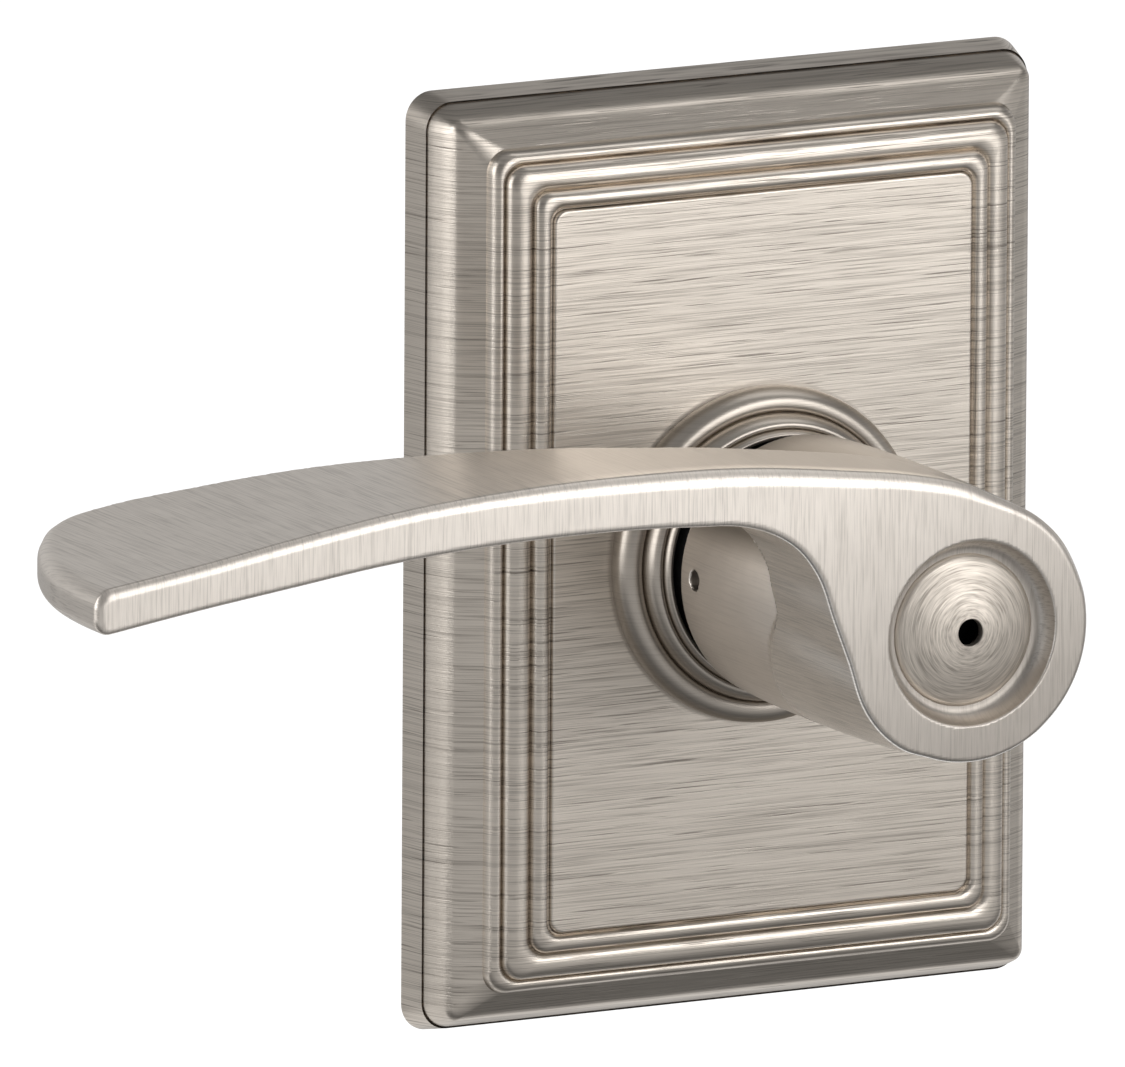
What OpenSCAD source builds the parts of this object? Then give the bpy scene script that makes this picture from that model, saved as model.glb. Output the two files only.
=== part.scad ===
// Outside half of a privacy door lever on a stepped rectangular rose.
// The drawing frame has x to the right, y up and z out from the door, so z is the distance in front
// of the door face. on_door() stands each piece up: +Z up, the front towards -Y, the door at Y = 0.
// The origin is on the hub's axis, on the door face.

/* [Rose] */
// Width of the rose
rose_w = 72.6; // [70:0.1:80]
// Height of the rose
rose_h = 100.1; // [96:0.1:110]
// Height of the flat centre panel above the door
panel_h = 11.6; // [11.2:0.1:12.6]
// Radius of the rose's outer corners
rose_corner = 3; // [2:0.25:4]

/* [Lever] */
// Distance from the hub's axis to the tip of the arm
arm_reach = 102; // [96:0.5:116]
// Distance from the door to the front face of the lever
lever_front = 57.7; // [56:0.1:62]
// Highest point of the arm above the hub's axis
arm_top = 20.1; // [19:0.1:22]
// Thickness of the arm at its middle
arm_thick = 5.7; // [5:0.1:6.5]
// Depth of the arm, front to back, at its widest
arm_depth = 29.6; // [26:0.1:31]
// Radius of the lever's round head
head_r = 13.65; // [13.6:0.05:14.2]
// Radius of the hub at its widest
hub_r = 14.5; // [14.2:0.1:15]

/* [Fixing] */
// Distance between the two mounting posts
post_gap = 42; // [41:0.5:44]
// Radius of the threaded hole in each post
post_hole_r = 2.05; // [1.75:0.05:2.2]
// Distance that the posts reach behind the door face
post_reach = 22; // [16:1:26]
// Distance that the spindle reaches behind the door face
spindle_reach = 44; // [36:1:52]
// Radius of the half-round latch spindle
spindle_r = 3.9; // [3.5:0.1:4]

/* [Movement] */
// Turn of the lever each way from level, in degrees
lever_turn = 45; // [30:1:48]

/* [Hidden] */
$fn = 64;

satin_nickel = "#b9b0a6";
bright_steel = "#c4c7cb";
zinc_plated = "#d9d7c8";
black_nylon = "#1b1b1d";
fit_gap = 0.05;      // radial play of everything that turns or slides in something else
through = 0.5;       // how far a cutter runs past the face that it cuts

// Rose: moulding levels from the outer edge inwards, as [inset from the edge, height, corner radius]
moulding = [
    [0, 0, rose_corner],
    [0.25, 2.2, rose_corner],
    [1.0, 2.9, rose_corner],
    [1.4, 4.6, rose_corner - 0.1],
    [2.15, 6.4, rose_corner - 0.2],
    [3.15, 7.45, rose_corner - 0.3],
    [5.2, 8.75, rose_corner - 0.5],
    [5.6, 9.5, rose_corner - 0.6],
    [6.5, 10.2, rose_corner - 0.7],
    [6.8, 10.25, rose_corner - 0.8],
    [7.25, 10.8, rose_corner - 0.9],
    [8.5, 11.2, rose_corner - 1],
    [9.45, 10.95, rose_corner - 1.1],
    [9.9, 11.45, rose_corner - 1.2],
    [10.9, 11.7, rose_corner - 1.3],
    [11.45, 11.6, rose_corner - 1.4]
];
moulding_top = 11.6;  // height that the moulding levels are given for
corner_steps = 5;
// Hollows in the rose's back, as [inset from the edge, depth, corner radius]
rose_hollows = [[3.2, 5, 2], [7, 8.2, 2], [13, 9.9, 2]];
collar_bore_r = 12.9;
collar_profile = [
    [12.9, 9.8], [12.9, 16.1], [13.5, 16.45], [14.6, 16.45], [15.3, 15.9], [15.7, 14.6],
    [16.3, 14.35], [17.1, 13.9], [17.6, 12.9], [17.8, 11.6], [17.8, 9.8]
];

// Chassis plate
plate_size = [64, 90];
plate_corner = 5;
plate_z = 2.2;
plate_t = 1.5;
plate_front = plate_z + plate_t;
screw_at = [26.5, 39.5];
screw_r = 1.25;
screw_head_r = 2.9;
screw_head_t = 1.7;
boss_r = 3.2;
post_r = 3.4;
post_head_r = 4.8;
post_head_t = 1.2;
post_hole_depth = 14;
rivet_at = [9, 17.2];
rivet_r = 1.3;
rivet_head_r = 2.2;
rivet_head_t = 0.8;

// Drive tube and what it turns in
tube_r = 9.5;
tube_bore_r = 7.9;
tube_back = -4;
tube_front = 46;
groove_z = 4.3;
groove_w = 1.1;
groove_r = 9;
bushing_r = 12;
hub_back = 19.7;
bushing_front = hub_back - 0.5;
bushing_flange_r = 14.5;
bushing_flange_t = 1.5;
bushing_pocket_r = 11.2;
bushing_pocket_front = 7.5;
key_w = 3;
key_back = 38;

// Spring cage and driver cam
cage_r = 17.2;
cage_wall = 1.2;
cage_bore_r = cage_r - cage_wall;
cage_back = -8.6;
cage_floor = [-8.2, -7];
cage_ear_r = 22.5;
cage_ear_half_w = 13;
spring_r = 11.9;
spring_wire_r = 0.75;
spring_z = [-2.7, 1.2];
spring_leg_angle = 12;     // from the top to the middle of each leg
spring_leg_r = 15.5;
spring_bend_r = 1.5;
cam_z = -6;
cam_t = 2;
cam_r = 12.6;
tang_r = [13, 14.3];
tang_half_angle = 7;
stop_arm_r = 15.4;
stop_half_angle = 6;
stop_block_r = 14.6;
cam_boss_front = 1.5;

// Lever hub and head
hub_profile = [
    [tube_r + 0.1, hub_back], [hub_r - 0.7, hub_back], [hub_r - 0.3, hub_back + 0.4],
    [hub_r - 0.05, 27], [hub_r, 35], [hub_r - 0.1, 44], [hub_r - 0.4, 51],
    [head_r, lever_front], [0, lever_front], [0, 47], [tube_r + 0.1, 47]
];
recess_r = 9.75;
recess_floor_r = 8.35;
recess_depth = 2.2;
cap_r = 8.1;
cap_skirt = 5.5;
cap_t = 0.9;
cap_apex = lever_front - 0.35;
cap_dome_r = 21.3;
cap_rim = cap_apex - cap_dome_r + sqrt(cap_dome_r ^ 2 - cap_r ^ 2);
cap_hole_r = 1.4;

// Catch that holds the lever on the tube
catch_z = 23.2;
catch_tilt = 2;
catch_r = 2;
catch_tip = 11.7;
catch_hole_r = 1.05;

// Release rod
rod_r = 1.4;
rod_head_r = 2.9;
rod_head = [52, 53.4];
blade_half_w = 2;
blade_y = [0.4, 2.4];
guide_z = [41, 45];

// Arm edges as seen from the front, as [share of the reach, share of arm_top], tip first.
// Each list starts and ends with one guide point that only sets the curve's direction.
top_edge = [
    [1.08, 0.62], [1, 0.679], [0.884, 0.761], [0.771, 0.853], [0.635, 0.947], [0.497, 0.992],
    [0.37, 1], [0.258, 0.98], [0.144, 0.915]
];
under_edge = [
    [1.08, 0.38], [1, 0.44], [0.884, 0.527], [0.77, 0.602], [0.68, 0.66], [0.558, 0.708],
    [0.466, 0.72], [0.372, 0.715], [0.315, 0.7], [0.264, 0.677]
];
arm_thick_nominal = 5.7;
// Where the arm's edges run into the round head, in mm from the hub's axis
top_root = [[-6, 17.1], [-0.5, 15.7], [4.2, 13.4], [7.8, 11.35], [10.6, 8.5]];
under_root = [
    [-23.6, 12.6], [-20.4, 10.6], [-18.1, 7.7], [-16.2, 2.8], [-14.4, -1.8], [-12.1, -7.4],
    [-9.8, -10], [-7.4, -11.6]
];
head_join = [22, -110];  // angles between which the outline runs inside the hub
head_inset = 0.6;
// Back edge of the arm seen from above, as [share of the reach, share of the depth], hub first
head_share = 0.426;
back_edge = [
    [0.1, head_share], [0.19, head_share], [0.29, 0.463], [0.385, 0.574], [0.48, 0.669],
    [0.575, 0.766], [0.67, 0.861], [0.765, 0.943], [0.84, 0.996], [0.88, 0.994], [0.912, 0.948],
    [0.936, 0.862], [0.957, 0.74], [0.976, 0.588], [0.99, 0.412], [0.998, 0.203], [1, 0], [1, -0.2]
];
curve_steps = 4;

// ---- helpers ----

module on_door() {
    rotate([90, 0, 0]) children();
}

module tube(outer_r, inner_r, z0, z1) {
    translate([0, 0, z0])
        difference() {
            cylinder(r = outer_r, h = z1 - z0);
            translate([0, 0, -through])
                cylinder(r = inner_r, h = z1 - z0 + 2 * through);
        }
}

module rod(r, z0, z1) {
    translate([0, 0, z0])
        cylinder(r = r, h = z1 - z0);
}

module rounded_rect(size, corner) {
    half = size / 2 - [corner, corner];
    polygon([
        for (q = [0:3]) for (k = [0:8])
            let (a = 90 * q + 90 * k / 8)
            [(q == 0 || q == 3 ? 1 : -1) * half[0] + corner * cos(a),
             (q < 2 ? 1 : -1) * half[1] + corner * sin(a)]
    ]);
}

// Piece of a ring between two radii, centred on an angle
module ring_tab(r0, r1, z0, z1, angle, half_angle) {
    steps = 4;
    angles = [for (k = [0:steps]) angle - half_angle + 2 * half_angle * k / steps];
    translate([0, 0, z0])
        linear_extrude(z1 - z0)
            polygon([
                for (a = angles) r1 * [cos(a), sin(a)],
                for (k = [steps:-1:0]) r0 * [cos(angles[k]), sin(angles[k])]
            ]);
}

module at_corners(at) {
    for (sx = [-1, 1], sy = [-1, 1])
        translate([sx * at[0], sy * at[1], 0]) children();
}

module at_posts() {
    for (side = [-1, 1])
        translate([side * post_gap / 2, 0, 0]) children();
}

// Direction of a smooth curve through points p at point i, weighted by the spacing on each side
function heading(p, i) =
    let (before = norm(p[i] - p[i - 1]), after = norm(p[i + 1] - p[i]))
    ((p[i] - p[i - 1]) * after / before + (p[i + 1] - p[i]) * before / after) / (before + after);

// Point at share t of the smooth stretch from point i to point i + 1
function on_stretch(p, i, t) =
    let (d = norm(p[i + 1] - p[i]))
    (2 * t ^ 3 - 3 * t ^ 2 + 1) * p[i] + (t ^ 3 - 2 * t ^ 2 + t) * d * heading(p, i)
    + (3 * t ^ 2 - 2 * t ^ 3) * p[i + 1] + (t ^ 3 - t ^ 2) * d * heading(p, i + 1);

// Smooth curve through all points of p but its first and last, which only guide it
function smooth_curve(p, steps) = [
    for (i = [1:len(p) - 3]) for (k = [0:steps - 1]) on_stretch(p, i, k / steps),
    p[len(p) - 2]
];

function reversed(p) = [for (i = [len(p) - 1:-1:0]) p[i]];

function unit(v) = v / norm(v);

// Points of a coil of radius r that climbs from z0 to z1 between two angles
function coil_path(r, z0, z1, from_angle, to_angle, step_angle) =
    let (steps = ceil((to_angle - from_angle) / step_angle))
    [for (i = [0:steps])
        let (a = from_angle + (to_angle - from_angle) * i / steps)
        [r * cos(a), r * sin(a), z0 + (z1 - z0) * i / steps]];

// Round wire of radius r along a path that never runs straight up
module wire(path, r, sides) {
    last = len(path) - 1;
    points = [
        for (i = [0:last])
            let (
                along = unit(path[min(i + 1, last)] - path[max(i - 1, 0)]),
                across = unit(cross(along, [0, 0, 1])),
                up = cross(across, along)
            )
            for (k = [0:sides - 1])
                path[i] + r * cos(360 * k / sides) * across + r * sin(360 * k / sides) * up
    ];
    skin = [
        for (i = [0:last - 1]) for (k = [0:sides - 1])
            let (n = (k + 1) % sides, a = i * sides, b = a + sides)
            each [[a + k, b + n, b + k], [a + k, a + n, b + n]]
    ];
    ends = [[for (k = [sides - 1:-1:0]) k], [for (k = [0:sides - 1]) last * sides + k]];
    polyhedron(points = points, faces = concat(skin, ends), convexity = 8);
}

// ---- rose and chassis ----

// One rounded rectangle of the moulding, at its height
function moulding_ring(level) =
    let (r = level[2], half = [rose_w / 2 - level[0] - r, rose_h / 2 - level[0] - r])
    [for (q = [0:3]) for (k = [0:corner_steps])
        let (a = 90 * q + 90 * k / corner_steps)
        [(q == 0 || q == 3 ? 1 : -1) * half[0] + r * cos(a),
         (q < 2 ? 1 : -1) * half[1] + r * sin(a),
         level[1] * panel_h / moulding_top]];

module moulding_solid() {
    levels = len(moulding);
    count = 4 * (corner_steps + 1);
    points = [for (level = moulding) each moulding_ring(level)];
    skin = [
        for (i = [0:levels - 2]) for (k = [0:count - 1])
            let (n = (k + 1) % count)
            [i * count + k, (i + 1) * count + k, (i + 1) * count + n, i * count + n]
    ];
    ends = [[for (k = [0:count - 1]) k], [for (k = [count - 1:-1:0]) (levels - 1) * count + k]];
    polyhedron(points = points, faces = concat(skin, ends), convexity = 4);
}

module rose_plate() {
    color(satin_nickel) on_door()
        difference() {
            union() {
                difference() {
                    moulding_solid();
                    for (hollow = rose_hollows)
                        translate([0, 0, -through])
                            linear_extrude(hollow[1] + through)
                                rounded_rect([rose_w, rose_h] - 2 * [hollow[0], hollow[0]], hollow[2]);
                }
                rotate_extrude() polygon(collar_profile);
                at_corners(screw_at) rod(boss_r, plate_front, 9);
            }
            rod(collar_bore_r, -through, 20);
            at_corners(screw_at) rod(screw_r + fit_gap, plate_front - through, 8);
        }
}

module chassis_plate() {
    color(zinc_plated) on_door()
        difference() {
            translate([0, 0, plate_z])
                linear_extrude(plate_t) rounded_rect(plate_size, plate_corner);
            rod(tube_r + fit_gap, 0, 5);
            at_corners(screw_at) rod(screw_r + 0.35, 0, 5);
            at_corners(rivet_at) rod(rivet_r + fit_gap, 0, 5);
            at_posts() rod(post_r, 0, 5);
            for (side = [-1, 1])
                translate([0, side * 30, 0]) rod(4, 0, 5);
        }
}

module pan_screw() {
    difference() {
        union() {
            rod(screw_r, plate_z - 0.2, 7.6);
            rod(screw_head_r, plate_z - screw_head_t, plate_z);
        }
        for (turn = [0, 90])
            rotate(turn)
                translate([-1.6, -0.35, plate_z - screw_head_t - through])
                    cube([3.2, 0.7, 1 + through]);
    }
}

module rose_screws() {
    color(bright_steel) on_door() at_corners(screw_at) pan_screw();
}

module mounting_posts() {
    color(zinc_plated) on_door()
        at_posts()
            difference() {
                union() {
                    rod(post_r, -post_reach, plate_front + 0.1);
                    rod(post_head_r, plate_front, plate_front + post_head_t);
                }
                rod(post_hole_r, -post_reach - through, -post_reach + post_hole_depth);
            }
}

module spring_cage() {
    color(zinc_plated) on_door()
        difference() {
            union() {
                tube(cage_r, cage_bore_r, cage_back, plate_z);
                intersection() {
                    tube(cage_ear_r, cage_bore_r, plate_z - cage_wall, plate_z);
                    translate([-cage_ear_half_w, -cage_ear_r, 0])
                        cube([2 * cage_ear_half_w, 2 * cage_ear_r, 5]);
                }
                ring_tab(tang_r[1] + 0.4, cage_bore_r + 0.4, -3.5, 1, 90, tang_half_angle);
                for (side = [-1, 1])
                    ring_tab(stop_block_r, cage_bore_r + 0.4, -6.8, -3.6,
                        270 + side * (lever_turn + 2 * stop_half_angle + 0.8), stop_half_angle);
            }
            at_corners(rivet_at) rod(rivet_r + fit_gap, 0, 5);
        }
}

module cage_cover() {
    color(zinc_plated) on_door()
        difference() {
            rod(cage_bore_r - fit_gap, cage_floor[0], cage_floor[1]);
            rod(spindle_r + 1.4, cage_floor[0] - through, cage_floor[1] + through);
        }
}

module cage_rivets() {
    color(bright_steel) on_door()
        at_corners(rivet_at) {
            rod(rivet_r, plate_z - cage_wall - 0.1, plate_front + 0.1);
            rod(rivet_head_r, plate_front, plate_front + rivet_head_t);
            rod(rivet_head_r, plate_z - cage_wall - rivet_head_t, plate_z - cage_wall);
        }
}

// Quarter bend from a radial leg at an angle into the coil, which goes to the given side
function leg_bend(angle, side, z) = [
    for (f = [0:30:90])
        let (u = spring_r + spring_bend_r * (1 - sin(f)), v = side * spring_bend_r * (1 - cos(f)))
        [u * cos(angle) - v * sin(angle), u * sin(angle) + v * cos(angle), z]
];

module return_spring() {
    from_angle = 90 - spring_leg_angle;
    to_angle = 90 + spring_leg_angle + 720;
    bend = 12;
    function leg_end(angle, z) = [spring_leg_r * cos(angle), spring_leg_r * sin(angle), z];
    path = concat(
        [leg_end(from_angle, spring_z[0])],
        leg_bend(from_angle, 1, spring_z[0]),
        coil_path(spring_r, spring_z[0], spring_z[1], from_angle + bend, to_angle - bend, 15),
        reversed(leg_bend(to_angle, -1, spring_z[1])),
        [leg_end(to_angle, spring_z[1])]
    );
    color(bright_steel) on_door() wire(path, spring_wire_r, 8);
}

// ---- bearing and drive ----

module hub_bushing() {
    color(black_nylon) on_door()
        difference() {
            union() {
                rod(bushing_r, plate_front, bushing_front);
                rod(bushing_flange_r, plate_front, plate_front + bushing_flange_t);
            }
            rod(tube_r + fit_gap, plate_front - through, bushing_front + through);
            rod(bushing_pocket_r, plate_front - through, bushing_pocket_front);
        }
}

module thrust_washer() {
    color(bright_steel) on_door()
        tube(bushing_pocket_r - 0.1, tube_r + 0.1, plate_front, groove_z - 0.1);
}

module snap_ring() {
    color(bright_steel) on_door()
        difference() {
            tube(bushing_pocket_r - 0.4, groove_r, groove_z, groove_z + groove_w - 0.1);
            translate([-1.5, 0, 0]) cube([3, 20, 20]);
        }
}

module drive_tube() {
    color(zinc_plated) on_door()
        difference() {
            tube(tube_r, tube_bore_r, tube_back, tube_front);
            tube(tube_r + 1, groove_r, groove_z, groove_z + groove_w);
            for (side = [-1, 1])
                translate([-key_w / 2 - fit_gap, side * tube_r - 3, key_back - fit_gap])
                    cube([key_w + 2 * fit_gap, 6, 20]);
            catch_axis() cylinder(r = catch_r + fit_gap, h = 20);
        }
}

module driver_cam() {
    color(zinc_plated) on_door()
        difference() {
            union() {
                rod(cam_r, cam_z, cam_z + cam_t);
                rod(tube_bore_r - fit_gap, cam_z + cam_t, cam_boss_front);
                ring_tab(cam_r - 1, tang_r[1], cam_z, cam_z + cam_t, 90, tang_half_angle);
                ring_tab(tang_r[0], tang_r[1], cam_z, spring_z[1] - 0.2, 90, tang_half_angle);
                ring_tab(cam_r - 1, stop_arm_r, cam_z, cam_z + cam_t, 270, stop_half_angle);
            }
            half_round(spindle_r + fit_gap, cam_z - through, cam_boss_front + through, fit_gap);
            translate([-blade_half_w - fit_gap, 0, cam_z - through])
                cube([2 * (blade_half_w + fit_gap), blade_y[1] + fit_gap, 20]);
            pin_hole(fit_gap);
        }
}

// Lower half of a rod, cut off at height top
module half_round(r, z0, z1, top) {
    difference() {
        rod(r, z0, z1);
        translate([-2 * r, top, z0 - through])
            cube([4 * r, 2 * r, z1 - z0 + 2 * through]);
    }
}

// Cross pin through the cam's boss and the spindle, below the rod's blade
module pin_hole(play) {
    translate([-6.5 - play, -2.2, -1.2])
        rotate([0, 90, 0]) cylinder(r = 0.8 + play, h = 13 + 2 * play);
}

module latch_spindle() {
    color(bright_steel) on_door()
        difference() {
            half_round(spindle_r, -spindle_reach, cam_boss_front, 0);
            pin_hole(fit_gap);
        }
}

module spindle_pin() {
    color(bright_steel) on_door() pin_hole(0);
}

// ---- lever ----

function on_circle(r, a) = r * [cos(a), sin(a)];

arm_scale = [arm_reach, arm_top];
join_r = head_r - head_inset;
head_arc = [for (a = [head_join[0] - 12:-12:head_join[1] + 12]) on_circle(join_r, a)];

// Outline of the lever seen from the front
function lever_outline() =
    let (
        top = concat([for (p = top_edge) [-p[0] * arm_scale[0], p[1] * arm_scale[1]]], top_root,
            [on_circle(join_r, head_join[0]), on_circle(join_r, head_join[0] - 15)]),
        thicker = arm_thick - arm_thick_nominal,
        under = concat([for (p = under_edge) [-p[0] * arm_scale[0], p[1] * arm_scale[1] - thicker]],
            under_root, [on_circle(join_r, head_join[1]), on_circle(join_r, head_join[1] + 15)])
    )
    concat(smooth_curve(top, curve_steps), head_arc, reversed(smooth_curve(under, curve_steps)));

// Outline of the arm and head seen from above, as [x, z]
function plan_outline() =
    concat(
        [[head_r + 2, lever_front], [head_r + 2, lever_front - head_share * arm_depth]],
        [for (p = smooth_curve(back_edge, curve_steps))
            [-p[0] * arm_reach, lever_front - p[1] * arm_depth]]
    );

module arm() {
    intersection() {
        translate([0, 0, lever_front - arm_depth - 1])
            linear_extrude(arm_depth + 1) polygon(lever_outline());
        translate([0, 40, 0])
            rotate([90, 0, 0]) linear_extrude(80) polygon(plan_outline());
    }
}

// Everything placed along the catch's axis: +Z of the child points out of the hub
module catch_axis() {
    translate([0, 0, catch_z])
        rotate([0, 0, -catch_tilt]) rotate([0, -90, 0]) children();
}

module lever() {
    color(satin_nickel) on_door() {
        difference() {
            union() {
                rotate_extrude() polygon(hub_profile);
                arm();
            }
            rod(tube_r + 0.1, hub_back - through, 47);
            rod(rod_head_r + 1.2, 46, lever_front);
            rod(cap_r + fit_gap, lever_front - recess_depth - cap_skirt, lever_front + through);
            translate([0, 0, lever_front - recess_depth])
                rotate_extrude()
                    polygon([
                        [0, 0], [recess_floor_r, 0], [recess_floor_r + 0.6, 0.25],
                        [recess_r - 0.35, 1], [recess_r, recess_depth + through],
                        [0, recess_depth + through]
                    ]);
            catch_axis() rod(catch_hole_r, 0, 20);
            catch_axis() rod(catch_r + 0.1, 0, catch_tip + 0.2);
        }
        for (side = [-1, 1])
            translate([-key_w / 2, side > 0 ? 8.2 : -10, key_back])
                cube([key_w, 1.8, 8.5]);
    }
}

module face_cap() {
    inner_r = cap_r - cap_t;
    steps = 8;
    dome = [for (k = [0:steps]) let (r = cap_hole_r + (cap_r - 0.3 - cap_hole_r) * k / steps)
        [r, cap_apex - cap_dome_r + sqrt(cap_dome_r ^ 2 - r ^ 2)]];
    inside = [for (k = [steps:-1:0]) let (r = cap_hole_r + (inner_r - cap_hole_r) * k / steps)
        [r, cap_apex - cap_t - cap_dome_r + sqrt(cap_dome_r ^ 2 - r ^ 2)]];
    skirt_back = lever_front - recess_depth - cap_skirt + 0.1;
    color(satin_nickel) on_door()
        rotate_extrude()
            polygon(concat(dome, [[cap_r, cap_rim - 0.3], [cap_r, skirt_back], [inner_r, skirt_back]], inside));
}

module lever_catch() {
    color(bright_steel) on_door()
        catch_axis() {
            rod(catch_r, 6.6, catch_tip);
            rod(catch_r + 0.9, 6.2, 7.1);
        }
}

module catch_spring() {
    strip_t = 0.4;
    mid_r = 5.8;
    angles = [for (a = [55:10:305]) a];
    outer = [for (a = angles) on_circle(mid_r + strip_t / 2, a)];
    inner = [for (k = [len(angles) - 1:-1:0]) on_circle(mid_r - strip_t / 2, angles[k])];
    color(bright_steel) on_door()
        rotate(-catch_tilt) {
            translate([0, 0, catch_z - 2.5])
                linear_extrude(5) polygon(concat(outer, inner));
            for (side = [-1, 1])
                rotate(side * 55)
                    translate([mid_r - strip_t / 2, -strip_t / 2, catch_z - 2.5])
                        cube([tube_bore_r - mid_r, strip_t, 5]);
        }
}

// ---- emergency release ----

module release_rod() {
    color(bright_steel) on_door() {
        rod(rod_r, 6.5, rod_head[1] - 0.2);
        rod(rod_head_r, rod_head[0], rod_head[1]);
        translate([-blade_half_w, blade_y[0], -spindle_reach + 6])
            cube([2 * blade_half_w, blade_y[1] - blade_y[0], spindle_reach + 2]);
    }
}

module release_spring() {
    color(bright_steel) on_door()
        wire(coil_path(2.1, guide_z[1] + 0.3, rod_head[0] - 0.3, 0, 2520, 30), 0.22, 6);
}

module release_guide() {
    color(black_nylon) on_door()
        tube(tube_bore_r - fit_gap, rod_r + fit_gap, guide_z[0], guide_z[1]);
}

rose_plate();
chassis_plate();
rose_screws();
mounting_posts();
spring_cage();
cage_cover();
cage_rivets();
return_spring();
hub_bushing();
thrust_washer();
snap_ring();
drive_tube();
driver_cam();
latch_spindle();
spindle_pin();
lever();
face_cap();
lever_catch();
catch_spring();
release_rod();
release_spring();
release_guide();
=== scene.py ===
import math

import bpy
import numpy as np
from mathutils import Matrix, Vector

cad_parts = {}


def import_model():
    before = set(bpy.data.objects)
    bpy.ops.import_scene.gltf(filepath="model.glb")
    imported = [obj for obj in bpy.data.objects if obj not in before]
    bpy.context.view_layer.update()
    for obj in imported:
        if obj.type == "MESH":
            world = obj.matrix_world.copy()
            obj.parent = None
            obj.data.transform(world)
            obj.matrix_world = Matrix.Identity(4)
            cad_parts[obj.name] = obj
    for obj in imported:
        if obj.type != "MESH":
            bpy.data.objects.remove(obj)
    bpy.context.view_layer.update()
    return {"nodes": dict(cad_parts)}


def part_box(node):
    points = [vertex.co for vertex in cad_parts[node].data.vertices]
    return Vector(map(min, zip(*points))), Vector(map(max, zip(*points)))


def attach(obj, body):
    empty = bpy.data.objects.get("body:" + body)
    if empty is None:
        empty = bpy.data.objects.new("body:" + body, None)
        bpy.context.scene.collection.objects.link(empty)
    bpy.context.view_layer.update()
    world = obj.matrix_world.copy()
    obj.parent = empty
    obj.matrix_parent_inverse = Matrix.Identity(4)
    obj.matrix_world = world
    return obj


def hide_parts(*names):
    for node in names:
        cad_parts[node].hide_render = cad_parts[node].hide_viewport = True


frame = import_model()

# Points are worked out in the drawing frame in mm: x to the right, y up, z out from the door.
MM = 0.001
lever_low, lever_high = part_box("lever")
rose_low, rose_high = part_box("rose_plate")
cap_low, cap_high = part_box("face_cap")
LEVER_FRONT = -lever_low[1] / MM
HUB_BACK = -lever_high[1] / MM
ARM_REACH = -lever_low[0] / MM
ARM_TOP = lever_high[2] / MM
ROSE_W = (rose_high[0] - rose_low[0]) / MM
ROSE_H = (rose_high[2] - rose_low[2]) / MM
CAP_R = (cap_high[0] - cap_low[0]) / 2 / MM
CAP_FRONT = -cap_low[1] / MM
PANEL = 11.6      # height of the rose's flat panel
HEAD_R = 13.65
ARM_DEPTH = 29.6  # how far the arm's flat tip reaches back from the lever's front


def to_row(p):
    """Points of the drawing frame, in mm, in the row frame, in metres."""
    p = np.asarray(p, dtype=float)
    return np.stack([p[:, 0], -p[:, 2], p[:, 1]], axis=1) * MM


def add_mesh(name, points, faces, material, normals=None):
    mesh = bpy.data.meshes.new(name)
    mesh.from_pydata(to_row(points).tolist(), [], faces)
    mesh.update()
    obj = bpy.data.objects.new(name, mesh)
    bpy.context.scene.collection.objects.link(obj)
    mesh.materials.append(material)
    mesh.polygons.foreach_set("use_smooth", [True] * len(mesh.polygons))
    if normals is not None:
        turned = np.stack([normals[:, 0], -normals[:, 2], normals[:, 1]], axis=1)
        mesh.normals_split_custom_set_from_vertices(turned.tolist())
    return obj


# ---- curves ----

def heading(p):
    """Direction of a smooth curve at each inner point of p, weighted by the spacing on each side."""
    before, after = p[1:-1] - p[:-2], p[2:] - p[1:-1]
    b = np.linalg.norm(before, axis=1, keepdims=True)
    a = np.linalg.norm(after, axis=1, keepdims=True)
    return (before * a / b + after * b / a) / (a + b)


def smooth_curve(p, steps):
    """Smooth curve through all points of p but its first and last, which only guide it."""
    p = np.asarray(p, dtype=float)
    m = heading(p)
    out = []
    for i in range(1, len(p) - 2):
        d = np.linalg.norm(p[i + 1] - p[i])
        for k in range(steps):
            t = k / steps
            out.append((2 * t**3 - 3 * t**2 + 1) * p[i] + (t**3 - 2 * t**2 + t) * d * m[i - 1]
                       + (3 * t**2 - 2 * t**3) * p[i + 1] + (t**3 - t**2) * d * m[i])
    out.append(p[-2])
    return np.array(out)


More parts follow.
